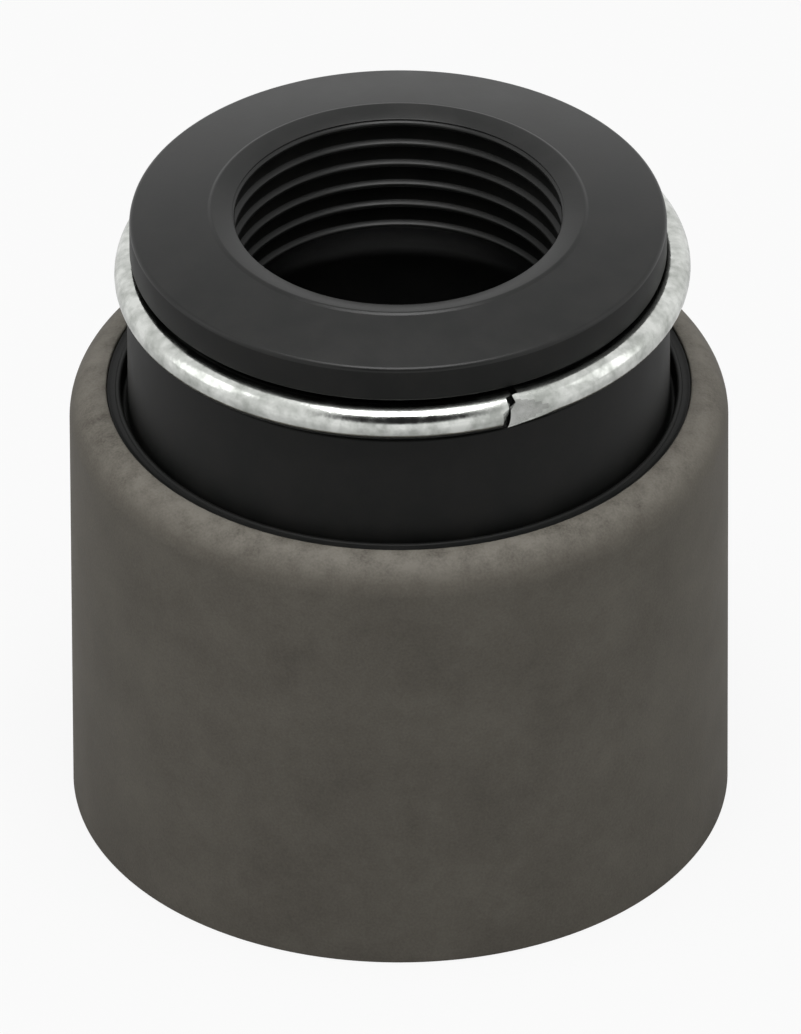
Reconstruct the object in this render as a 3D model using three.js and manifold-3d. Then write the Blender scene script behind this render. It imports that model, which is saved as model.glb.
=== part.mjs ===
// Valve stem seal with a steel casing, in millimetres, +Z up.
// The origin is on the axis of the seal, at the lower rim of the casing.
// The lower end is pressed over the top of a valve guide; the stem slides in the ribbed bore above it.

import * as THREE from 'three';
import { mergeVertices } from 'three/addons/utils/BufferGeometryUtils.js';
import Module from 'manifold-3d';

const wasm = await Module();
wasm.setup();

// Round faces are drawn with this many flats, alike on every piece, so that they nest.
const FLATS = 64;
const WIRE_SIDES = 14;
const SHOULDER_STEPS = 8;
const CORNER_STEPS = 3;

// The valve that the seal is made for
const STEM_DIAMETER = 12;
const GUIDE_DIAMETER = 18;

// Steel casing: a drawn sleeve whose top edge turns inward as far as its inside corner
const CASING_HEIGHT = 17.4;
const CASING_WALL = 1;
const DRAW_RADIUS = 0.35;
const RIM_CHAMFER = 0.15;

// Rubber inside the casing: its wall round the guide, and the gap that stands for the bond
const RUBBER_WALL = 2.13;
const BOND_GAP = 0.02;

// Rubber lining at the top of the casing, and the narrow moat between it and the neck
const LINING_DROP = 0.1;
const LINING_WIDTH = 0.53;
const BEAD_HEIGHT = 0.12;
const BEAD_WIDTH = 0.22;
const MOAT_WIDTH = 0.25;
const MOAT_DEPTH = 0.8;

// Neck, ring groove, flange and mouth, from the top of the casing up
const NECK_HEIGHT = 4.2;
const GROOVE_DEPTH = 0.9;
const FLANGE_STEP = 0.11;
const FLANGE_THICKNESS = 1.37;
const FLANGE_ROUNDING = 0.15;
const TOP_RISE = 0.5;
const MOUTH_WIDTH = 0.79;
const MOUTH_DISH = 0.16;
const MOUTH_GROOVE = 0.12;

// Sealing ribs in the stem bore, counted from the mouth down
const RIB_COUNT = 6;
const RIB_PITCH = 0.888;
const RIB_START = 0.19;
const RIB_SQUEEZE = 0.06;
const RIB_DEPTH = 0.34;
const RIB_LAND = 0.1;
const RIB_LEAD = 0.12;
const RIB_BACK = 0.2;

// Hollow below the ribs, and the bore over the valve guide with its stop and grip ribs
const HOLLOW_CLEARANCE = 1;
const HOLLOW_TAPER = 0.9;
const STOP_DROP = 2.4;
const STOP_RELIEF = 0.4;
const STOP_MARGIN = 0.2;
const GUIDE_SQUEEZE = 0.15;
const GRIP_COUNT = 3;
const GRIP_MARGIN = 2;
const GRIP_HEIGHT = 0.18;
const GRIP_WIDTH = 0.9;
const FOOT_RECESS = 0.4;
const LEAD_IN = 0.9;

// Clamp ring: round wire, sprung into the groove a little off centre and off level
const WIRE_DIAMETER = 1.3;
const RING_OFFSET = 0.15;
const RING_TILT = 0.76;
const RING_CLEARANCE = 0.05;

// The cut in the ring: its place and width, how far it is off the wire's square section, and the
// flat that the shears left on one end
const CUT_AZIMUTH = -66.9;
const CUT_WIDTH = 0.19;
const CUT_SLANT = 15;
const CUT_SKEW = 23;
const SHEAR_DEPTH = 0.25;
const SHEAR_LENGTH = 1.2;
const SHEAR_LIFT = 5;

const degrees = THREE.MathUtils.degToRad;

// Radii, from the stem and the guide outward
const stemRadius = STEM_DIAMETER / 2;
const ribRadius = stemRadius - RIB_SQUEEZE;
const ribRootRadius = ribRadius + RIB_DEPTH;
const mouthRadius = stemRadius + MOUTH_WIDTH;
const hollowRadius = stemRadius + HOLLOW_CLEARANCE;
const guideBoreRadius = GUIDE_DIAMETER / 2 - GUIDE_SQUEEZE;
const stopRadius = guideBoreRadius - GRIP_HEIGHT - STOP_MARGIN;
const liningRadius = guideBoreRadius + RUBBER_WALL;
const casingInnerRadius = liningRadius + BOND_GAP;
const casingRadius = casingInnerRadius + CASING_WALL;
const openingRadius = casingInnerRadius - DRAW_RADIUS;
const moatRadius = openingRadius - LINING_WIDTH;
const neckRadius = moatRadius - MOAT_WIDTH;
const flangeRadius = neckRadius - FLANGE_STEP;
const grooveFloorRadius = neckRadius - GROOVE_DEPTH;
const wireRadius = WIRE_DIAMETER / 2;
const ringRadius = grooveFloorRadius + RING_OFFSET + RING_CLEARANCE + wireRadius;

// Heights, from the lower rim up
const shoulderRadius = CASING_WALL + DRAW_RADIUS;
const shoulderStart = CASING_HEIGHT - shoulderRadius;
const liningTop = CASING_HEIGHT - LINING_DROP;
const moatFloor = CASING_HEIGHT - MOAT_DEPTH;
const guideDepth = CASING_HEIGHT - STOP_DROP;
const ringRise = (ringRadius + wireRadius) * Math.sin(degrees(RING_TILT));
const grooveBottom = CASING_HEIGHT + NECK_HEIGHT;
const grooveTop = grooveBottom + WIRE_DIAMETER + 2 * (ringRise + RING_CLEARANCE);
const ringHeight = (grooveBottom + grooveTop) / 2;
const flangeTop = grooveTop + FLANGE_THICKNESS;
const mouthTop = flangeTop + TOP_RISE;
const boreEdge = mouthTop - MOUTH_DISH;
const firstRib = boreEdge - RIB_START;
const hollowTop = firstRib - RIB_COUNT * RIB_PITCH - HOLLOW_TAPER;

// Points of an arc about a centre, in the plane of radius and height
function arc(radius, height, size, from, to, steps) {
  const points = [];
  for (let i = 0; i <= steps; i++) {
    const angle = degrees(from + ((to - from) * i) / steps);
    points.push([radius + size * Math.cos(angle), height + size * Math.sin(angle)]);
  }
  return points;
}

// A closed outline of radius and height, turned about the Z axis
function revolve(outline) {
  const points = [...outline, outline[0]].map(([radius, height]) => new THREE.Vector2(radius, height));
  const geometry = new THREE.LatheGeometry(points, FLATS);
  geometry.rotateX(Math.PI / 2);
  return geometry;
}

function toSolid(geometry) {
  const bare = geometry.clone();
  bare.deleteAttribute('normal');
  bare.deleteAttribute('uv');
  const merged = mergeVertices(bare);
  return new wasm.Manifold(new wasm.Mesh({
    numProp: 3,
    vertProperties: new Float32Array(merged.attributes.position.array),
    triVerts: new Uint32Array(merged.index.array),
  }));
}

function toGeometry(solid) {
  const mesh = solid.getMesh();
  const geometry = new THREE.BufferGeometry();
  geometry.setAttribute('position', new THREE.BufferAttribute(mesh.vertProperties, 3));
  geometry.setIndex(new THREE.BufferAttribute(mesh.triVerts, 1));
  geometry.computeVertexNormals();
  return geometry;
}

// Up the outside, over the drawn shoulder, down the edge of the opening and down the inside
function casingOutline() {
  return [
    [casingRadius - RIM_CHAMFER, 0],
    [casingRadius, RIM_CHAMFER],
    ...arc(openingRadius, shoulderStart, shoulderRadius, 0, 90, SHOULDER_STEPS),
    ...arc(openingRadius, shoulderStart, DRAW_RADIUS, 90, 0, CORNER_STEPS),
    [casingInnerRadius, RIM_CHAMFER],
    [casingInnerRadius + RIM_CHAMFER, 0],
  ];
}

// The lining fills the casing up to its opening, with a bead along the moat round the neck
function liningOutline() {
  const edgeRadius = openingRadius - BOND_GAP;
  const cornerRadius = DRAW_RADIUS - BOND_GAP;
  return [
    [liningRadius, FOOT_RECESS],
    ...arc(openingRadius, shoulderStart, cornerRadius, 0, 90, CORNER_STEPS),
    [edgeRadius, shoulderStart + cornerRadius],
    [edgeRadius, liningTop],
    [moatRadius + BEAD_WIDTH, liningTop],
    [moatRadius + BEAD_WIDTH / 2, liningTop + BEAD_HEIGHT],
    [moatRadius, liningTop],
    [moatRadius, moatFloor],
  ];
}

// The neck, the groove for the ring, the flange, and the top that rises to the mouth
function neckOutline() {
  const roundingRadius = flangeRadius - FLANGE_ROUNDING;
  return [
    [neckRadius, moatFloor],
    [neckRadius, grooveBottom],
    [grooveFloorRadius, grooveBottom],
    [grooveFloorRadius, grooveTop],
    [flangeRadius, grooveTop],
    ...arc(roundingRadius, flangeTop - FLANGE_ROUNDING, FLANGE_ROUNDING, 0, 90, CORNER_STEPS),
    [mouthRadius, mouthTop],
    [stemRadius, boreEdge],
  ];
}

// One sealing rib: a narrow land with a short flank above it and a longer one below it
function ribOutline(height) {
  return [
    [ribRootRadius, height + RIB_LAND / 2 + RIB_LEAD],
    [ribRadius, height + RIB_LAND / 2],
    [ribRadius, height - RIB_LAND / 2],
    [ribRootRadius, height - RIB_LAND / 2 - RIB_BACK],
  ];
}

// The first rib is close under the edge of the mouth, so the groove above it is a shallow one
function stemBoreOutline() {
  const outline = [];
  for (let i = 0; i < RIB_COUNT; i++) {
    outline.push(...ribOutline(firstRib - i * RIB_PITCH));
  }
  outline[0] = [ribRadius + MOUTH_GROOVE, (boreEdge + firstRib + RIB_LAND / 2) / 2];
  return outline;
}

// The hollow below the ribs, the stop for the guide, the bore with its grip ribs, and the lead-in.
// The stop is a land with a relief round it, which clears the corner of the guide.
function guideBoreOutline() {
  const outline = [
    [hollowRadius, hollowTop],
    [hollowRadius, guideDepth],
    [stopRadius, guideDepth],
    [stopRadius, guideDepth + STOP_RELIEF],
    [guideBoreRadius, guideDepth + STOP_RELIEF],
  ];
  const pitch = (guideDepth - 2 * GRIP_MARGIN) / GRIP_COUNT;
  for (let i = 0; i < GRIP_COUNT; i++) {
    const height = guideDepth - GRIP_MARGIN - (i + 0.5) * pitch;
    outline.push(
      [guideBoreRadius, height + GRIP_WIDTH / 2],
      [guideBoreRadius - GRIP_HEIGHT, height],
      [guideBoreRadius, height - GRIP_WIDTH / 2],
    );
  }
  outline.push([guideBoreRadius, FOOT_RECESS + LEAD_IN], [guideBoreRadius + LEAD_IN, FOOT_RECESS]);
  return outline;
}

function sealBodyOutline() {
  return [...liningOutline(), ...neckOutline(), ...stemBoreOutline(), ...guideBoreOutline()];
}

// The blade that cuts the wire: a thin slab, leaning out of the ring's axis and out of its radius
function cutBlade() {
  const blade = new THREE.BoxGeometry(WIRE_DIAMETER * 3, CUT_WIDTH, WIRE_DIAMETER * 3);
  blade.rotateX(-degrees(CUT_SLANT));
  blade.rotateZ(-degrees(CUT_SKEW));
  blade.translate(ringRadius, 0, 0);
  return blade.rotateZ(degrees(CUT_AZIMUTH));
}

// A slab whose inner face shaves the outer side of the wire, deepest at the cut
function shearBlade() {
  const length = Math.hypot(SHEAR_DEPTH, SHEAR_LENGTH);
  const blade = new THREE.BoxGeometry(WIRE_DIAMETER, length, WIRE_DIAMETER * 2);
  blade.translate(WIRE_DIAMETER / 2, -length / 2, 0);
  blade.rotateZ(-Math.atan2(SHEAR_DEPTH, SHEAR_LENGTH));
  blade.translate(wireRadius, SHEAR_LENGTH, 0);
  blade.rotateY(-degrees(SHEAR_LIFT));
  blade.translate(ringRadius, 0, 0);
  return blade.rotateZ(degrees(CUT_AZIMUTH));
}

function clampRing() {
  const wire = new THREE.TorusGeometry(ringRadius, wireRadius, WIRE_SIDES, FLATS);
  return toGeometry(toSolid(wire).subtract(toSolid(cutBlade())).subtract(toSolid(shearBlade())));
}

function piece(name, geometry, color, roughness, metalness) {
  const mesh = new THREE.Mesh(geometry, new THREE.MeshStandardMaterial({ color, roughness, metalness }));
  mesh.name = name;
  return mesh;
}

const seal = new THREE.Group();

seal.add(piece('steel_casing', revolve(casingOutline()), 0x4b4741, 0.55, 0.6));
seal.add(piece('seal_body', revolve(sealBodyOutline()), 0x2c2d2b, 0.5, 0));

const ring = piece('clamp_ring', clampRing(), 0xb9bbb7, 0.25, 1);
ring.position.set(RING_OFFSET, 0, ringHeight);
ring.rotation.y = -degrees(RING_TILT);
seal.add(ring);

export default seal;
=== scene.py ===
"""A valve stem seal: a drawn steel casing, a moulded rubber body and a split wire ring.

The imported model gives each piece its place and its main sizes. This script models the same
pieces finely, gives them their finishes, and sets them on a pale floor in soft studio light.
Everything is in metres, with +Z up along the axis of the seal.
"""

import logging
import math
from collections.abc import Callable, Iterable, Sequence
from dataclasses import dataclass
from enum import Enum

import bmesh
import bpy
from mathutils import Matrix, Quaternion, Vector


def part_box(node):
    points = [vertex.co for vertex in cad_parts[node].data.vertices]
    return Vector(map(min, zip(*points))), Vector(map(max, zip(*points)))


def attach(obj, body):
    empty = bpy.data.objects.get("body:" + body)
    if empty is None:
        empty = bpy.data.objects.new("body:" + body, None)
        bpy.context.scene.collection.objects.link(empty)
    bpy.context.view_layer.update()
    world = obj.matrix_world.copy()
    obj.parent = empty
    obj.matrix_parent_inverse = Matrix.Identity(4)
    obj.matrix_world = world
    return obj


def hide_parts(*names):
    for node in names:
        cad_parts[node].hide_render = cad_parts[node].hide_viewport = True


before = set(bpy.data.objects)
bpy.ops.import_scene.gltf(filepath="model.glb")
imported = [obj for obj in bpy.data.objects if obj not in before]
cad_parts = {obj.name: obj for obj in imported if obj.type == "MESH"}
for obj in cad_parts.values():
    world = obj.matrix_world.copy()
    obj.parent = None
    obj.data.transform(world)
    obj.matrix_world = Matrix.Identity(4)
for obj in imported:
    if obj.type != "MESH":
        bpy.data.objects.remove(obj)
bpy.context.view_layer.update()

MM = 0.001
FLATS = 256
PLACE_TOLERANCE = 0.002 * MM
WELD_DISTANCE = 0.0001 * MM
SMOOTH_ANGLE = math.radians(38.0)
CORNER_STEPS = 6

Colour = tuple[float, float, float, float]

log = logging.getLogger("valve_stem_seal")


def from_screen(red: int, green: int, blue: int) -> Colour:
    """Turn a colour as a screen shows it into the linear colour that a shader takes.

    Args:
        red: Red, from 0 to 255.
        green: Green, from 0 to 255.
        blue: Blue, from 0 to 255.

    Returns:
        The linear colour, opaque.
    """
    def linear(value: int) -> float:
        """Return one channel in linear light."""
        share = value / 255.0
        return share / 12.92 if share <= 0.04045 else ((share + 0.055) / 1.055) ** 2.4

    return (linear(red), linear(green), linear(blue), 1.0)


class Signal:
    """A socket of a shader, with arithmetic that adds Math nodes."""

    def __init__(self, graph: "Graph", socket: bpy.types.NodeSocket) -> None:
        """Keep the node graph and the output socket that carries the value."""
        self.graph = graph
        self.socket = socket

    def _math(self, operation: str, first: "Signal | float", second: "Signal | float") -> "Signal":
        """Return first and second put through a Math node."""
        return self.graph.node("ShaderNodeMath", {"operation": operation}, {0: first, 1: second})

    def __add__(self, other: "Signal | float") -> "Signal":
        """Return self + other."""
        return self._math("ADD", self, other)

    def __radd__(self, other: float) -> "Signal":
        """Return other + self."""
        return self._math("ADD", other, self)

    def __sub__(self, other: "Signal | float") -> "Signal":
        """Return self - other."""
        return self._math("SUBTRACT", self, other)

    def __rsub__(self, other: float) -> "Signal":
        """Return other - self."""
        return self._math("SUBTRACT", other, self)

    def __mul__(self, other: "Signal | float") -> "Signal":
        """Return self * other."""
        return self._math("MULTIPLY", self, other)

    def __rmul__(self, other: float) -> "Signal":
        """Return other * self."""
        return self._math("MULTIPLY", other, self)

    def at_least(self, other: "Signal | float") -> "Signal":
        """Return the larger of self and other."""
        return self._math("MAXIMUM", self, other)


class Graph:
    """The nodes of one material or world."""

    roughness = 0.55

    def __init__(self, tree: bpy.types.NodeTree) -> None:
        """Empty the tree and keep it."""
        self.tree = tree
        self.tree.nodes.clear()

    def node(
        self,
        kind: str,
        settings: dict[str, object],
        inputs: dict[int | str, object],
        output: int | str = 0,
    ) -> Signal:
        """Add a node.

        Args:
            kind: The node's type, such as ShaderNodeMath.
            settings: What is set before its sockets, such as a Math node's operation.
            inputs: The value or Signal of each socket, by its number or name.
            output: The number or name of the output that the returned Signal carries.

        Returns:
            The node's output, or its input for a node that has no output.
        """
        made = self.tree.nodes.new(kind)
        for name, value in settings.items():
            setattr(made, name, value)
        for place, value in inputs.items():
            if isinstance(value, Signal):
                self.tree.links.new(value.socket, made.inputs[place])
            else:
                made.inputs[place].default_value = value
        return Signal(self, made.outputs[output] if made.outputs else made.inputs[0])

    def place(self) -> Signal:
        """Return the point's place on the object, in metres."""
        return self.node("ShaderNodeTexCoord", {}, {}, "Object")

    def noise(self, size: float, detail: float = 2.0, stretch: Sequence[float] = (1, 1, 1)) -> Signal:
        """Return cloudy noise.

        Args:
            size: The width of its blotches in metres.
            detail: How many finer layers it has.
            stretch: How much finer it is along X, Y and Z.

        Returns:
            A value round one half.
        """
        mapped = self.node("ShaderNodeMapping", {}, {"Vector": self.place(), "Scale": tuple(stretch)})
        return self.node(
            "ShaderNodeTexNoise",
            {"noise_dimensions": "3D"},
            {"Vector": mapped, "Scale": 1.0 / size, "Detail": detail, "Roughness": self.roughness},
            "Fac",
        )

    def along(self, axis: str) -> Signal:
        """Return the point's place along one axis of the object, in metres."""
        return self.node("ShaderNodeSeparateXYZ", {}, {0: self.place()}, axis)

    def from_axis(self) -> Signal:
        """Return the point's distance from the origin of the object, in metres."""
        return self.node(
            "ShaderNodeVectorMath", {"operation": "LENGTH"}, {0: self.place()}, "Value"
        )

    def blend(self, share: Signal, first: "Signal | Colour", second: Colour) -> Signal:
        """Return a colour between first, at share 0, and second, at share 1."""
        return self.node(
            "ShaderNodeMix", {"data_type": "RGBA"}, {0: share, 6: first, 7: second}, 2
        )

    def contrast(self, value: Signal, low: float, high: float) -> Signal:
        """Return value spread so that low becomes 0 and high becomes 1."""
        return self.node(
            "ShaderNodeMapRange", {"clamp": True}, {"Value": value, "From Min": low, "From Max": high}
        )

    def weigh(self, values: Sequence[Signal], weights: Sequence[float]) -> Signal:
        """Return the sum of some values, each times its weight."""
        first, *others = [value * weight for value, weight in zip(values, weights)]
        return sum(others, first)

    def ray(self, kind: str) -> Signal:
        """Return 1 where a surface is met by a kind of ray, such as Is Camera Ray."""
        return self.node("ShaderNodeLightPath", {}, {}, kind)

    def mirrored(self) -> Signal:
        """Return 1 where a surface is seen in a reflection or through glass."""
        return self.ray("Is Glossy Ray").at_least(self.ray("Is Transmission Ray"))

    def facing(self, direction: Vector) -> Signal:
        """Return how far a world's ray points along a direction, from -1 to 1."""
        ray = self.node("ShaderNodeTexCoord", {}, {}, "Generated")
        return self.node(
            "ShaderNodeVectorMath", {"operation": "DOT_PRODUCT"}, {0: ray, 1: tuple(direction)}, "Value"
        )

    def bump(self, height: Signal, depth: float) -> Signal:
        """Return the normal of a surface that height lifts by up to depth metres."""
        return self.node("ShaderNodeBump", {}, {"Height": height, "Distance": depth}, "Normal")


class Finish:
    """A material with a name, made once."""

    name = "finish"

    def dress(self, graph: Graph) -> Signal:
        """Return the shader of this finish."""
        raise NotImplementedError(self.name)

    def material(self) -> bpy.types.Material:
        """Make the material.

        Returns:
            A new Blender material with this finish's name and nodes.
        """
        made = bpy.data.materials.new(self.name)
        made.use_nodes = True
        graph = Graph(made.node_tree)
        shader = self.dress(graph)
        graph.node("ShaderNodeOutputMaterial", {}, {"Surface": shader})
        return made


@dataclass(frozen=True)
class PhosphatedSteel(Finish):
    """Brown-grey zinc phosphate on drawn steel: fine crystals and faint clouds."""

    name: str = "phosphated_steel"
    dark: Colour = from_screen(84, 80, 73)
    light: Colour = from_screen(103, 99, 91)
    crystal: float = 0.09 * MM
    dapple: float = 0.75 * MM
    cloud: float = 3.2 * MM
    roughness: float = 0.68
    metallic: float = 0.0
    specular: float = 0.2
    relief: float = 0.012 * MM
    # The lighter shoulder colour and its height band: partly rubbed wear, partly a painted highlight
    # where the top light falls on the shoulder.
    rub_and_highlight: Colour = from_screen(124, 120, 112)
    rub_and_highlight_start: float = 16.6 * MM
    rub_and_highlight_end: float = 17.3 * MM
    tone_weights: tuple[float, ...] = (0.35, 0.25, 0.4)
    tone_range: tuple[float, float] = (0.34, 0.66)
    rub_and_highlight_weights: tuple[float, ...] = (0.3, 0.45, 0.25)
    rub_and_highlight_range: tuple[float, float] = (0.36, 0.6)
    relief_weights: tuple[float, ...] = (0.6, 0.9)
    dapple_gloss: float = 0.22
    crystal_gloss: float = 0.12

    def dress(self, graph: Graph) -> Signal:
        """Make the shader: clouded colour, a lighter shoulder that is partly rubbed wear and partly a
        painted highlight, and a crystalline relief.

        Args:
            graph: The nodes of the material.

        Returns:
            The shader.
        """
        crystal = graph.noise(self.crystal, 3.0)
        dapple = graph.noise(self.dapple, 3.0)
        cloud = graph.noise(self.cloud, 2.0)
        layers = (cloud, dapple, crystal)
        tone = graph.contrast(graph.weigh(layers, self.tone_weights), *self.tone_range)
        gloss = self.roughness + (dapple - 0.5) * self.dapple_gloss + (crystal - 0.5) * self.crystal_gloss
        relief = graph.bump(graph.weigh((crystal, dapple), self.relief_weights), self.relief)
        # Lighter speckles on the shoulder band: partly rubbed wear, partly a painted highlight of the top
        # light.
        shoulder = graph.contrast(graph.along("Z"), self.rub_and_highlight_start, self.rub_and_highlight_end)
        rub_and_highlight_speckle = graph.contrast(graph.weigh(layers, self.rub_and_highlight_weights), *self.rub_and_highlight_range)
        phosphate = graph.blend(tone, self.dark, self.light)
        return graph.node("ShaderNodeBsdfPrincipled", {}, {
            "Base Color": graph.blend(shoulder * rub_and_highlight_speckle, phosphate, self.rub_and_highlight),
            "Roughness": gloss,
            "Metallic": self.metallic,
            "Specular IOR Level": self.specular,
            "Normal": relief,
        })


@dataclass(frozen=True)
class MouldedRubber(Finish):
    """Black fluoroelastomer as it leaves the mould: satin, with a faint grey bloom."""

    name: str = "satin_rubber"
    dark: Colour = from_screen(21, 22, 21)
    bloom: Colour = from_screen(29, 29, 28)
    grain: float = 0.06 * MM
    patch: float = 1.6 * MM
    roughness: float = 0.35
    specular: float = 0.27
    relief: float = 0.004 * MM
    bloom_weights: tuple[float, ...] = (0.7, 0.3)
    bloom_range: tuple[float, float] = (0.4, 0.62)
    grain_relief: float = 0.5
    patch_gloss: float = 0.16

    def dress(self, graph: Graph) -> Signal:
        """Make the shader: patches of bloom, and a fine grain from the mould.

        Args:
            graph: The nodes of the material.

        Returns:
            The shader.
        """
        grain = graph.noise(self.grain, 2.0)
        patch = graph.noise(self.patch, 3.0)
        bloom = graph.contrast(graph.weigh((patch, grain), self.bloom_weights), *self.bloom_range)
        gloss = self.roughness + (patch - 0.5) * self.patch_gloss
        return graph.node("ShaderNodeBsdfPrincipled", {}, {
            "Base Color": graph.blend(bloom, self.dark, self.bloom),
            "Roughness": gloss,
            "Specular IOR Level": self.specular,
            "Normal": graph.bump(grain * self.grain_relief + patch, self.relief),
        })


@dataclass(frozen=True)
class MattShadedRubber(MouldedRubber):
    """The same rubber where the mould is blasted: flatter, and a little darker as painted shade on the
    sides of the neck and flange.
    """

    name: str = "matt_shaded_rubber"
    # A little darker than the satin rubber: painted shade on the side faces.
    dark: Colour = from_screen(19, 20, 19)
    bloom: Colour = from_screen(26, 26, 25)
    roughness: float = 0.5
    specular: float = 0.16


@dataclass(frozen=True)
class ZincWire(Finish):
    """Bright zinc on spring wire, with the dimples and rubbed patches of tumbled parts."""

    name: str = "zinc_wire"
    bright: Colour = from_screen(214, 216, 212)
    dull: Colour = from_screen(168, 171, 166)
    dimple: float = 0.4 * MM
    patch: float = 1.5 * MM
    roughness: float = 0.1
    relief: float = 0.009 * MM
    worn_weights: tuple[float, ...] = (0.6, 0.4)
    worn_range: tuple[float, float] = (0.4, 0.62)
    worn_gloss: float = 0.16
    patch_relief: float = 0.6

    def dress(self, graph: Graph) -> Signal:
        """Make the shader: a mottled metal that is duller where it was rubbed.

        Args:
            graph: The nodes of the material.

        Returns:
            The shader.
        """
        dimple = graph.noise(self.dimple, 2.0)
        patch = graph.noise(self.patch, 3.0)
        worn = graph.contrast(graph.weigh((patch, dimple), self.worn_weights), *self.worn_range)
        gloss = self.roughness + worn * self.worn_gloss
        return graph.node("ShaderNodeBsdfPrincipled", {}, {
            "Base Color": graph.blend(worn, self.bright, self.dull),
            "Roughness": gloss,
            "Metallic": 1.0,
            "Normal": graph.bump(dimple + patch * self.patch_relief, self.relief),
        })


@dataclass(frozen=True)
class PinchedZinc(ZincWire):
    """The zinc where the jaws pressed the wire flat: smeared and duller."""

    name: str = "pinched_zinc"
    bright: Colour = from_screen(184, 185, 182)
    dull: Colour = from_screen(152, 154, 150)
    roughness: float = 0.2
    relief: float = 0.005 * MM


@dataclass(frozen=True)
class ShadedShearedSteel(Finish):
    """The bare end of the wire where the shears went through, with drag lines: painted near-black as
    painted shade inside the narrow gap.
    """

    name: str = "shaded_sheared_steel"
    # Near-black colours: painted shade of the narrow gap, in place of the bright bare steel.
    dark: Colour = from_screen(26, 25, 25)
    light: Colour = from_screen(40, 39, 38)
    line: float = 0.1 * MM
    roughness: float = 0.6
    relief: float = 0.006 * MM
    line_stretch: tuple[float, ...] = (1.0, 1.0, 0.2)
    line_range: tuple[float, float] = (0.35, 0.65)
    line_gloss: float = 0.2

    def dress(self, graph: Graph) -> Signal:
        """Make the shader: a rough metal with lines along the cut.

        Args:
            graph: The nodes of the material.

        Returns:
            The shader.
        """
        lines = graph.noise(self.line, 2.0, self.line_stretch)
        return graph.node("ShaderNodeBsdfPrincipled", {}, {
            "Base Color": graph.blend(graph.contrast(lines, *self.line_range), self.dark, self.light),
            "Roughness": self.roughness + (lines - 0.5) * self.line_gloss,
            "Metallic": 1.0,
            "Normal": graph.bump(lines, self.relief),
        })


@dataclass(frozen=True)
class Station:
    """One corner of a turned outline."""

    radius: float
    height: float
    rounding: float = 0.0


def arc(radius: float, height: float, size: float, start: float, end: float, steps: int) -> list[Station]:
    """Return the stations of an arc.

    Args:
        radius: The radius at which its centre lies.
        height: The height of its centre.
        size: Its own radius.
        start: The angle of its first point, in degrees, from outward towards up.
        end: The angle of its last point.
        steps: The number of equal steps between them.

    Returns:
        One station more than there are steps.
    """
    angles = [math.radians(start + (end - start) * i / steps) for i in range(steps + 1)]
    return [Station(radius + size * math.cos(a), height + size * math.sin(a)) for a in angles]


class EditMode:
    """Edit mode on one object, with nothing selected at first."""

    def __init__(self, piece: bpy.types.Object) -> None:
        """Keep the object."""
        self.piece = piece

    def __enter__(self) -> "EditMode":
        """Open the object for editing."""
        bpy.ops.object.select_all(action="DESELECT")
        self.piece.select_set(True)
        bpy.context.view_layer.objects.active = self.piece
        bpy.ops.object.mode_set(mode="EDIT")
        self.clear()
        return self

    def __exit__(self, *error: object) -> None:
        """Go back to object mode."""
        bpy.ops.object.mode_set(mode="OBJECT")

    @staticmethod
    def clear() -> None:
        """Deselect every vertex, edge and face."""
        bpy.ops.mesh.select_all(action="DESELECT")

    def pick_edges(self, wanted: Callable[[bmesh.types.BMEdge], bool]) -> int:
        """Select the edges for which wanted is true, and return how many there are."""
        bpy.ops.mesh.select_mode(type="EDGE")
        return self._pick("edges", wanted)

    def pick_faces(self, wanted: Callable[[bmesh.types.BMFace], bool]) -> int:
        """Select the faces for which wanted is true, and return how many there are."""
        bpy.ops.mesh.select_mode(type="FACE")
        return self._pick("faces", wanted)

    def paint(self, number: int) -> None:
        """Give the selected faces a finish.

        Args:
            number: The finish's place in the order in which the piece gets them.
        """
        mesh = bmesh.from_edit_mesh(self.piece.data)
        for face in mesh.faces:
            if face.select:
                face.material_index = number
        bmesh.update_edit_mesh(self.piece.data)

    def _pick(self, kind: str, wanted: Callable[[object], bool]) -> int:
        """Select the elements of a kind for which wanted is true.

        Args:
            kind: Either edges or faces.
            wanted: Tells whether an element is to be selected.

        Returns:
            How many are selected.
        """
        self.clear()
        mesh = bmesh.from_edit_mesh(self.piece.data)
        chosen = [element for element in getattr(mesh, kind) if wanted(element)]
        for element in chosen:
            element.select_set(True)
        bmesh.update_edit_mesh(self.piece.data)
        return len(chosen)


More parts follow.
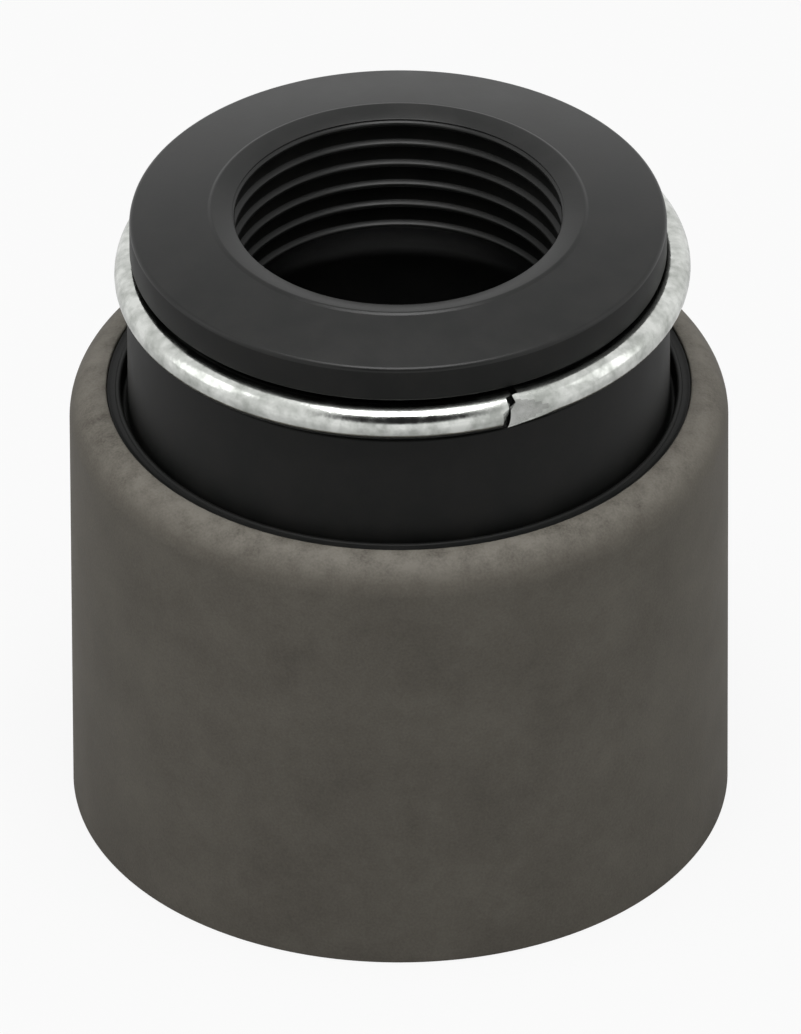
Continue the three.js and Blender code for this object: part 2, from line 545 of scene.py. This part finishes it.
class Turning:
    """A piece of revolution: a ring that is extruded from station to station."""

    def __init__(self, name: str, stations: Sequence[Station]) -> None:
        """Keep the piece's name and the closed outline it is turned to."""
        self.name = name
        self.stations = list(stations)

    def make(self, steps: int = 3) -> bpy.types.Object:
        """Turn the piece and round its corners.

        Args:
            steps: The number of facets across each rounding.

        Returns:
            The new object.
        """
        bpy.ops.object.select_all(action="DESELECT")
        first = self.stations[0]
        bpy.ops.mesh.primitive_circle_add(vertices=FLATS, radius=first.radius, location=(0, 0, 0))
        piece = bpy.context.object
        piece.name = self.name
        with EditMode(piece) as edit:
            self._walk(first)
            for rounding in sorted({s.rounding for s in self.stations if s.rounding}, reverse=True):
                self._round(edit, rounding, steps)
        bpy.ops.object.shade_smooth_by_angle(angle=SMOOTH_ANGLE)
        return piece

    def _walk(self, first: Station) -> None:
        """Extrude the ring round the whole outline and weld it to its start.

        Args:
            first: The station at which the ring lies, at height 0 so far.
        """
        bpy.ops.mesh.select_all(action="SELECT")
        bpy.ops.transform.translate(value=(0.0, 0.0, first.height))
        here = first
        for there in [*self.stations[1:], first]:
            rise = (0.0, 0.0, there.height - here.height)
            bpy.ops.mesh.extrude_region_move(TRANSFORM_OT_translate={"value": rise})
            share = there.radius / here.radius
            bpy.ops.transform.resize(
                value=(share, share, 1.0), center_override=(0.0, 0.0, there.height)
            )
            here = there
        bpy.ops.mesh.select_all(action="SELECT")
        bpy.ops.mesh.remove_doubles(threshold=WELD_DISTANCE)
        bpy.ops.mesh.normals_make_consistent(inside=False)

    def _round(self, edit: EditMode, rounding: float, steps: int) -> None:
        """Bevel the rings of the stations that have one rounding.

        Args:
            edit: The piece in edit mode.
            rounding: The rounding, in metres.
            steps: The number of facets across it.
        """
        corners = [s for s in self.stations if s.rounding == rounding]

        def corner_of(vertex: bmesh.types.BMVert) -> int:
            """Find the corner at a vertex.

            Args:
                vertex: The vertex.

            Returns:
                The corner's number, or -1 where there is none.
            """
            radius = math.hypot(vertex.co.x, vertex.co.y)
            for number, corner in enumerate(corners):
                off = max(abs(radius - corner.radius), abs(vertex.co.z - corner.height))
                if off < PLACE_TOLERANCE:
                    return number
            return -1

        def on_corner(edge: bmesh.types.BMEdge) -> bool:
            """Tell whether an edge lies along one of the corners."""
            number = corner_of(edge.verts[0])
            return number >= 0 and corner_of(edge.verts[1]) == number

        found = edit.pick_edges(on_corner)
        if found != FLATS * len(corners):
            log.warning("%s: %d edges to round by %.3f mm", self.name, found, rounding / MM)
        bpy.ops.mesh.bevel(
            offset=rounding, offset_type="OFFSET", segments=steps, affect="EDGES", clamp_overlap=True
        )


def install(piece: bpy.types.Object, node: str, slot: str, *finishes: Finish) -> None:
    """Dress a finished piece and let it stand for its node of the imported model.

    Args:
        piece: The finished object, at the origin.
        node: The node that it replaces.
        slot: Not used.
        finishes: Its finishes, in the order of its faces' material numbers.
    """
    for finish in finishes:
        piece.data.materials.append(finish.material())
    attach(piece, "root")
    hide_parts(node)
    triangles = sum(len(face.vertices) - 2 for face in piece.data.polygons)
    log.info("%s stands for %s, with %d triangles", piece.name, node, triangles)


@dataclass
class SteelCasing:
    """The drawn sleeve, which turns inward at the top as far as its inside corner."""

    radius: float
    height: float
    wall: float = 1.0 * MM
    draw_radius: float = 0.35 * MM
    rim_rounding: float = 0.14 * MM
    lip_rounding: float = 0.07 * MM
    shoulder_steps: int = 18

    @property
    def bore_radius(self) -> float:
        """The radius inside the sleeve."""
        return self.radius - self.wall

    @property
    def opening_radius(self) -> float:
        """The radius of the opening at the top."""
        return self.bore_radius - self.draw_radius

    @property
    def shoulder_start(self) -> float:
        """The height at which the wall begins to turn inward."""
        return self.height - self.wall - self.draw_radius

    def outline(self) -> list[Station]:
        """Draw the section, from the rim up the outside and down the inside.

        Returns:
            The stations of the closed outline.
        """
        shoulder = arc(
            self.opening_radius, self.shoulder_start, self.wall + self.draw_radius,
            0.0, 90.0, self.shoulder_steps,
        )
        lip = shoulder.pop()
        corner = arc(
            self.opening_radius, self.shoulder_start, self.draw_radius, 90.0, 0.0, CORNER_STEPS
        )
        return [
            Station(self.radius, 0.0, self.rim_rounding),
            *shoulder,
            Station(lip.radius, lip.height, self.lip_rounding),
            *corner,
            Station(self.bore_radius, 0.0, self.rim_rounding),
        ]

    def build(self) -> bpy.types.Object:
        """Model and dress the casing.

        Returns:
            The finished piece.
        """
        piece = Turning("drawn_casing", self.outline()).make(4)
        install(piece, "steel_casing", "casing_steel", PhosphatedSteel())
        return piece


@dataclass
class SealBody:
    """The moulded rubber: lining, neck, ring groove, flange, ribbed bore and guide bore."""

    casing: SteelCasing
    top: float
    stem_radius: float = 6.0 * MM
    guide_bore_radius: float = 8.85 * MM
    bond_gap: float = 0.02 * MM
    lining_drop: float = 0.1 * MM
    lining_dip: float = 0.05 * MM
    lining_width: float = 0.53 * MM
    bead_radius: float = 0.11 * MM
    bead_drop: float = 0.06 * MM
    bead_start: float = 20.0
    bead_steps: int = 8
    lining_rounding: float = 0.06 * MM
    moat_width: float = 0.25 * MM
    moat_depth: float = 0.8 * MM
    groove_bottom: float = 4.2 * MM
    groove_height: float = 1.678 * MM
    groove_depth: float = 0.9 * MM
    groove_edge: float = 0.08 * MM
    groove_corner: float = 0.2 * MM
    flange_step: float = 0.11 * MM
    flange_thickness: float = 1.37 * MM
    flange_rounding: float = 0.15 * MM
    dull_and_shade_drop: float = 0.7 * MM
    mouth_width: float = 0.79 * MM
    mouth_dish: float = 0.2 * MM
    lip_width: float = 0.12 * MM
    lip_height: float = 0.08 * MM
    lip_rounding: float = 0.05 * MM
    fine_rounding: float = 0.03 * MM
    rib_count: int = 6
    rib_pitch: float = 0.888 * MM
    rib_start: float = 0.2 * MM
    rib_squeeze: float = 0.06 * MM
    rib_depth: float = 0.2 * MM
    rib_land: float = 0.11 * MM
    rib_lead: float = 0.1 * MM
    rib_back: float = 0.14 * MM
    rib_rounding: float = 0.052 * MM
    first_rib_step: float = 0.12 * MM
    first_rib_rounding: float = 0.02 * MM
    hollow_clearance: float = 1.0 * MM
    hollow_taper: float = 0.9 * MM
    hollow_rounding: float = 0.3 * MM
    stop_drop: float = 2.4 * MM
    stop_relief: float = 0.4 * MM
    stop_margin: float = 0.2 * MM
    stop_rounding: float = 0.1 * MM
    bore_rounding: float = 0.15 * MM
    grip_count: int = 3
    grip_margin: float = 2.0 * MM
    grip_height: float = 0.18 * MM
    grip_width: float = 0.9 * MM
    foot_recess: float = 0.4 * MM
    lead_in: float = 0.9 * MM

    @property
    def moat_radius(self) -> float:
        """The radius of the lining's edge along the moat."""
        return self.casing.opening_radius - self.lining_width

    @property
    def neck_radius(self) -> float:
        """The radius of the neck."""
        return self.moat_radius - self.moat_width

    def lining(self) -> list[Station]:
        """Draw the outline from the foot up to the moat, with the bead along it.

        Returns:
            Its stations.
        """
        wall = self.casing.bore_radius - self.bond_gap
        edge = self.casing.opening_radius - self.bond_gap
        corner = self.casing.draw_radius - self.bond_gap
        top = self.casing.height - self.lining_drop
        bead = self.moat_radius + self.bead_radius
        floor = self.casing.height - self.moat_depth
        turn = self.moat_width / 2
        return [
            Station(wall, self.foot_recess, self.lining_rounding),
            *arc(
                self.casing.opening_radius, self.casing.shoulder_start, corner,
                0.0, 90.0, CORNER_STEPS,
            ),
            Station(edge, self.casing.shoulder_start + corner),
            Station(edge, top, self.fine_rounding),
            Station(
                (edge + bead + self.bead_radius) / 2, top - self.lining_dip, self.lining_rounding
            ),
            *arc(
                bead, top - self.bead_drop, self.bead_radius,
                self.bead_start, 180.0, self.bead_steps,
            ),
            *arc(self.moat_radius - turn, floor + turn, turn, 0.0, -180.0, CORNER_STEPS),
        ]

    def neck(self) -> list[Station]:
        """Draw the outline of the neck, the groove, the flange and the mouth.

        Returns:
            Its stations.
        """
        bottom = self.casing.height + self.groove_bottom
        ceiling = bottom + self.groove_height
        floor = self.neck_radius - self.groove_depth
        flange = self.neck_radius - self.flange_step
        mouth = self.stem_radius + self.mouth_width
        return [
            Station(self.neck_radius, bottom, self.groove_edge),
            Station(floor, bottom, self.groove_corner),
            Station(floor, ceiling, self.groove_corner),
            Station(flange, ceiling, self.groove_edge),
            Station(flange, ceiling + self.flange_thickness, self.flange_rounding),
            Station(mouth + self.lip_width, self.top - self.lip_height, self.fine_rounding),
            Station(mouth, self.top, self.lip_rounding),
            Station(self.stem_radius, self.top - self.mouth_dish, self.lip_rounding),
        ]

    def ribs(self) -> list[Station]:
        """Draw the outline of the sealing ribs, from the mouth down.

        Returns:
            Its stations, the first of them close under the mouth.
        """
        crest = self.stem_radius - self.rib_squeeze
        root = crest + self.rib_depth
        half = self.rib_land / 2
        found = []
        for number in range(self.rib_count):
            height = self.top - self.mouth_dish - self.rib_start - number * self.rib_pitch
            found += [
                Station(root, height + half + self.rib_lead),
                Station(crest, height + half, self.rib_rounding),
                Station(crest, height - half, self.rib_rounding),
                Station(root, height - half - self.rib_back),
            ]
        shallow = self.top - self.mouth_dish - (self.rib_start - half) / 2
        found[0] = Station(crest + self.first_rib_step, shallow, self.first_rib_rounding)
        return found

    def guide_bore(self) -> list[Station]:
        """Draw the outline of the hollow, the stop and the bore that grips the guide.

        Returns:
            Its stations, from the last rib down to the foot.
        """
        ribs_end = self.top - self.mouth_dish - self.rib_start - self.rib_count * self.rib_pitch
        hollow = self.stem_radius + self.hollow_clearance
        depth = self.casing.height - self.stop_drop
        land = self.guide_bore_radius - self.grip_height - self.stop_margin
        found = [
            Station(hollow, ribs_end - self.hollow_taper, self.hollow_rounding),
            Station(hollow, depth, self.bore_rounding),
            Station(land, depth, self.lip_rounding),
            Station(land, depth + self.stop_relief, self.stop_rounding),
            Station(self.guide_bore_radius, depth + self.stop_relief, self.stop_rounding),
        ]
        pitch = (depth - 2 * self.grip_margin) / self.grip_count
        for number in range(self.grip_count):
            height = depth - self.grip_margin - (number + 0.5) * pitch
            found += [
                Station(self.guide_bore_radius, height + self.grip_width / 2, self.bore_rounding),
                Station(self.guide_bore_radius - self.grip_height, height, self.bore_rounding),
                Station(self.guide_bore_radius, height - self.grip_width / 2, self.bore_rounding),
            ]
        return [
            *found,
            Station(self.guide_bore_radius, self.foot_recess + self.lead_in, self.bore_rounding),
            Station(self.guide_bore_radius + self.lead_in, self.foot_recess, self.lining_rounding),
        ]

    def build(self) -> bpy.types.Object:
        """Model and dress the rubber body.

        Returns:
            The finished piece.
        """
        outline = [*self.lining(), *self.neck(), *self.ribs(), *self.guide_bore()]
        piece = Turning("rubber_body", outline).make(3)
        self._dull_and_shade_sides(piece)
        install(piece, "seal_body", "seal_rubber", MouldedRubber(), MattShadedRubber())
        return piece

    def _dull_and_shade_sides(self, piece: bpy.types.Object) -> None:
        """Give the neck, the groove and the side of the flange the second finish, which is flatter and
        carries a slightly darker painted shade.

        Args:
            piece: The turned body.
        """
        inner = self.neck_radius - self.groove_depth - PLACE_TOLERANCE
        lower = self.casing.height - self.moat_depth
        upper = self.top - self.dull_and_shade_drop

        def is_side(face: bmesh.types.BMFace) -> bool:
            """Tell whether a face is on the outside of the neck or the flange."""
            middle = face.calc_center_median()
            return math.hypot(middle.x, middle.y) > inner and lower < middle.z < upper

        with EditMode(piece) as edit:
            edit.pick_faces(is_side)
            edit.paint(1)


class CutEnd(Enum):
    """The two ends of the wire, by the side of the cut on which each lies."""

    LEFT = -1
    RIGHT = 1


@dataclass
class ClampRing:
    """The split wire ring: closed at first, then cut askew and pinched flat at one end."""

    outer_radius: float
    height: float
    offset: float = 0.15 * MM
    wire_radius: float = 0.65 * MM
    tilt: float = math.radians(0.76)
    azimuth: float = math.radians(-66.9)
    gap: float = 0.21 * MM
    skew: float = math.radians(-28.3)
    slant: float = math.radians(7.5)
    press_depth: float = 0.3 * MM
    press_length: float = 2.3 * MM
    press_lean: float = math.radians(-3.0)
    press_blend: float = 0.04 * MM
    spread: float = 1.12
    spread_height: float = 0.16 * MM
    turn_steps: int = 256
    wire_sides: int = 56
    large_share: float = 0.25

    @property
    def radius(self) -> float:
        """The radius of the wire's own centre line."""
        return self.outer_radius - self.wire_radius

    @property
    def middle(self) -> Vector:
        """The middle of the wire at the place on +X where the cut is made."""
        return Vector((self.radius, 0.0, 0.0))

    @property
    def across(self) -> Vector:
        """The direction across the slanted cut, at the place on +X where it is made."""
        square = Vector((0.0, math.cos(self.slant), -math.sin(self.slant)))
        return Matrix.Rotation(self.skew, 3, "Z") @ square

    def _near(self, point: Vector) -> bool:
        """Tell whether a point is close enough to the cut to take part in it."""
        return point.x > 0.0 and abs(point.y) < 2.0 * self.press_length

    def _side(self, point: Vector) -> float:
        """Return how far a point lies to the right of the middle of the cut."""
        return (point - self.middle).dot(self.across)

    def _cut(self, edit: EditMode, end: CutEnd) -> None:
        """Slice the wire along one face of the cut.

        Args:
            edit: The ring in edit mode.
            end: The end that the face bounds.
        """
        edit.pick_faces(lambda face: self._near(face.calc_center_median()))
        place = self.middle + self.across * (end.value * self.gap / 2)
        bpy.ops.mesh.bisect(plane_co=place, plane_no=self.across)

    def _cap(self, edit: EditMode, end: CutEnd) -> None:
        """Close one end of the wire with a flat face.

        Args:
            edit: The ring in edit mode.
            end: The end to close.
        """
        def open_edge(edge: bmesh.types.BMEdge) -> bool:
            """Tell whether an edge is on the open rim of this end."""
            middle = (edge.verts[0].co + edge.verts[1].co) / 2
            return edge.is_boundary and self._side(middle) * end.value > 0.0

        edit.pick_edges(open_edge)
        bpy.ops.mesh.edge_face_add()

    def _press(self, edit: EditMode) -> None:
        """Press the outer side of the right end flat and taller, most of all at the cut.

        Every point moves along the face of the cut, so that the gap keeps its width.

        Args:
            edit: The ring in edit mode.
        """
        lean = Matrix.Rotation(self.press_lean, 3, "Y")
        slope = math.atan2(self.press_depth, self.press_length)
        normal = lean @ Vector((math.cos(slope), -math.sin(slope), 0.0))
        place = self.middle + lean @ Vector((self.wire_radius, self.press_length, 0.0))
        inward = normal - self.across * normal.dot(self.across)
        upward = self.across.cross(inward).normalized()
        pressed = set()
        for vertex in bmesh.from_edit_mesh(edit.piece.data).verts:
            side = self._side(vertex.co)
            if not self._near(vertex.co) or side <= 0.0:
                continue
            proud = max((vertex.co - place).dot(normal) + self.press_blend, 0.0)
            if proud > 0.0:
                kept = self.press_blend * (1.0 - math.exp(-proud / self.press_blend))
                vertex.co -= inward * ((proud - kept) / inward.dot(normal))
                if proud > 2.0 * self.press_blend:
                    pressed.add(vertex.index)
            fade = max(1.0 - side / (self.press_length / 2), 0.0) ** 2
            lift = (vertex.co - Vector((self.radius, 0.0, self.spread_height))).dot(upward)
            vertex.co += upward * (lift * (self.spread - 1.0) * fade)
        edit.pick_faces(lambda face: all(vertex.index in pressed for vertex in face.verts))
        edit.paint(1)

    def _ends(self, edit: EditMode) -> set[bmesh.types.BMFace]:
        """Find the faces across the wire at the cut, which are the only large ones.

        Args:
            edit: The ring in edit mode.

        Returns:
            The two faces.
        """
        large = self.large_share * self.wire_radius ** 2
        mesh = bmesh.from_edit_mesh(edit.piece.data)
        return {face for face in mesh.faces if face.calc_area() > large}

    def _shade_bare_ends(self, edit: EditMode) -> None:
        """Give the two cut ends the finish of bare steel, darkened as painted shade inside the gap.

        Args:
            edit: The ring in edit mode.
        """
        ends = self._ends(edit)
        edit.pick_faces(lambda face: face in ends)
        edit.paint(2)

    def _crease(self, edit: EditMode) -> None:
        """Keep the edges of the cut ends sharp, so that the round wire shades evenly.

        Args:
            edit: The ring in edit mode.
        """
        ends = self._ends(edit)
        edit.pick_edges(lambda edge: any(face in ends for face in edge.link_faces))
        bpy.ops.mesh.mark_sharp()

    def build(self) -> bpy.types.Object:
        """Model and dress the ring.

        Returns:
            The finished piece.
        """
        bpy.ops.object.select_all(action="DESELECT")
        bpy.ops.mesh.primitive_torus_add(
            major_segments=self.turn_steps, minor_segments=self.wire_sides,
            major_radius=self.radius, minor_radius=self.wire_radius, location=(0, 0, 0),
        )
        piece = bpy.context.object
        piece.name = "wire_ring"
        with EditMode(piece) as edit:
            for end in CutEnd:
                self._cut(edit, end)
            edit.pick_faces(
                lambda face: self._near(face.calc_center_median())
                and abs(self._side(face.calc_center_median())) < self.gap / 2
            )
            bpy.ops.mesh.delete(type="FACE")
            for end in CutEnd:
                self._cap(edit, end)
            self._press(edit)
            bpy.ops.mesh.select_all(action="SELECT")
            bpy.ops.mesh.normals_make_consistent(inside=False)
            self._shade_bare_ends(edit)
        turned = Matrix.Rotation(-self.tilt, 4, "Y") @ Matrix.Rotation(self.azimuth, 4, "Z")
        piece.matrix_world = Matrix.Translation((self.offset, 0.0, self.height)) @ turned
        bpy.ops.object.transform_apply(location=True, rotation=True, scale=True)
        bpy.ops.object.shade_smooth_by_angle(angle=SMOOTH_ANGLE)
        with EditMode(piece) as edit:
            self._crease(edit)
        install(piece, "clamp_ring", "ring_wire", ZincWire(), PinchedZinc(), ShadedShearedSteel())
        return piece


@dataclass(frozen=True)
class Softbox:
    """One area lamp: its angles in degrees, its sizes in metres and its power in watts."""

    name: str
    azimuth: float
    elevation: float
    distance: float
    width: float
    height: float
    power: float

    def place(self, aim: Vector) -> None:
        """Hang the lamp.

        Args:
            aim: The point that it looks at.
        """
        bpy.ops.object.select_all(action="DESELECT")
        turn = math.radians(self.azimuth)
        rise = math.radians(self.elevation)
        away = Vector((
            math.sin(turn) * math.cos(rise), -math.cos(turn) * math.cos(rise), math.sin(rise)
        ))
        bpy.ops.object.light_add(type="AREA", location=aim + away * self.distance)
        lamp = bpy.context.object
        lamp.name = self.name
        lamp.rotation_mode = "QUATERNION"
        lamp.rotation_quaternion = away.to_track_quat("Z", "Y")
        lamp.data.shape = "RECTANGLE"
        lamp.data.size = self.width
        lamp.data.size_y = self.height
        lamp.data.energy = self.power


@dataclass
class Studio:
    """The pale floor, the soft light round the seal, and the camera."""

    aim_height: float = 11.5 * MM
    aim_side: float = 0.04 * MM
    elevation: float = math.radians(34.5)
    roll: float = math.radians(-0.25)
    lens: float = 1200.0
    distance: float = 1.258
    clip_start: float = 0.01
    clip_end: float = 10.0
    floor_size: float = 4.0
    floor_colour: Colour = (0.6, 0.6, 0.6, 1.0)
    floor_white: float = 0.9
    white: Colour = (1.0, 1.0, 1.0, 1.0)
    black: Colour = (0.02, 0.02, 0.02, 1.0)
    foot_radius: float = 11.6 * MM
    foot_fade: float = 0.3 * MM
    clear_radius: float = 90.0 * MM
    ambient: float = 0.35
    opening_elevation: float = math.radians(40.0)
    opening_inner: float = math.radians(19.0)
    opening_outer: float = math.radians(31.0)
    lamps: tuple[Softbox, ...] = (
        Softbox("top_light", 0.0, 80.0, 0.42, 0.24, 0.22, 1.2),
        Softbox("left_light", -84.0, 28.0, 0.5, 0.22, 0.4, 0.26),
        Softbox("right_light", 88.0, 26.0, 0.5, 0.2, 0.4, 0.18),
    )

    def lay_floor(self) -> None:
        """Lay a white floor under the seal."""
        bpy.ops.object.select_all(action="DESELECT")
        bpy.ops.mesh.primitive_plane_add(size=self.floor_size, location=(0, 0, 0))
        floor = bpy.context.object
        floor.name = "floor"
        material = bpy.data.materials.new("white_floor")
        material.use_nodes = True
        graph = Graph(material.node_tree)
        matte = graph.node("ShaderNodeBsdfDiffuse", {}, {"Color": self.floor_colour})
        white = graph.node("ShaderNodeEmission", {}, {"Color": self.white, "Strength": 1.0})
        away = graph.from_axis()
        open_floor = graph.contrast(away, self.foot_radius, self.foot_radius + self.foot_fade)
        far_floor = graph.contrast(away, self.foot_radius, self.clear_radius)
        seen = (graph.ray("Is Camera Ray") * open_floor).at_least(graph.mirrored() * far_floor)
        share = seen * self.floor_white
        surface = graph.node("ShaderNodeMixShader", {}, {0: share, 1: matte, 2: white})
        graph.node("ShaderNodeOutputMaterial", {}, {"Surface": surface})
        floor.data.materials.append(material)

    def light(self) -> None:
        """Hang the lamps and set the sky: white where it is seen, dimmer where it lights."""
        for lamp in self.lamps:
            lamp.place(Vector((0.0, 0.0, self.aim_height)))
        world = bpy.data.worlds.new("studio")
        world.use_nodes = True
        bpy.context.scene.world = world
        graph = Graph(world.node_tree)
        front = Vector((0.0, -math.cos(self.opening_elevation), math.sin(self.opening_elevation)))
        opening = graph.contrast(
            graph.facing(front), math.cos(self.opening_outer), math.cos(self.opening_inner)
        )
        tent_colour = graph.blend(opening, self.white, self.black)
        dim = graph.node("ShaderNodeBackground", {}, {"Color": self.white, "Strength": self.ambient})
        tent = graph.node("ShaderNodeBackground", {}, {"Color": tent_colour, "Strength": 1.0})
        bright = graph.node("ShaderNodeBackground", {}, {"Color": self.white, "Strength": 1.0})
        lit = graph.node("ShaderNodeMixShader", {}, {0: graph.mirrored(), 1: dim, 2: tent})
        sky = graph.node("ShaderNodeMixShader", {}, {0: graph.ray("Is Camera Ray"), 1: lit, 2: bright})
        graph.node("ShaderNodeOutputWorld", {}, {"Surface": sky})

    def set_camera(self) -> None:
        """Set the long lens at the photograph's angle."""
        bpy.ops.object.select_all(action="DESELECT")
        back = Vector((0.0, -math.cos(self.elevation), math.sin(self.elevation)))
        aim = Vector((self.aim_side, 0.0, self.aim_height))
        bpy.ops.object.camera_add(location=aim + back * self.distance)
        camera = bpy.context.object
        camera.rotation_mode = "QUATERNION"
        camera.rotation_quaternion = back.to_track_quat("Z", "Y") @ Quaternion((0, 0, 1), self.roll)
        camera.data.lens = self.lens
        camera.data.clip_start = self.clip_start
        camera.data.clip_end = self.clip_end
        bpy.context.scene.camera = camera

    def build(self) -> None:
        """Set up everything round the seal."""
        self.set_camera()
        self.lay_floor()
        self.light()
        bpy.context.scene.view_settings.view_transform = "Standard"


def report(pieces: Iterable[bpy.types.Object]) -> None:
    """Log the place of every finished piece.

    Args:
        pieces: The pieces, at the origin.
    """
    for piece in pieces:
        corners = [piece.matrix_world @ Vector(corner) for corner in piece.bound_box]
        low = min(corner.z for corner in corners)
        high = max(corner.z for corner in corners)
        log.info("%s: from %.2f to %.2f mm high", piece.name, low / MM, high / MM)


def main() -> None:
    """Build the studio and the three pieces of the seal."""
    logging.basicConfig(level=logging.INFO, format="%(name)s: %(message)s")
    Studio().build()
    casing_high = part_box("steel_casing")[1]
    ring_low, ring_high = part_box("clamp_ring")
    casing = SteelCasing(radius=casing_high.x, height=casing_high.z)
    body = SealBody(casing=casing, top=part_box("seal_body")[1].z)
    ring = ClampRing(
        outer_radius=(ring_high.x - ring_low.x) / 2, height=(ring_low.z + ring_high.z) / 2
    )
    report([casing.build(), body.build(), ring.build()])


if __name__ == "__main__":
    main()
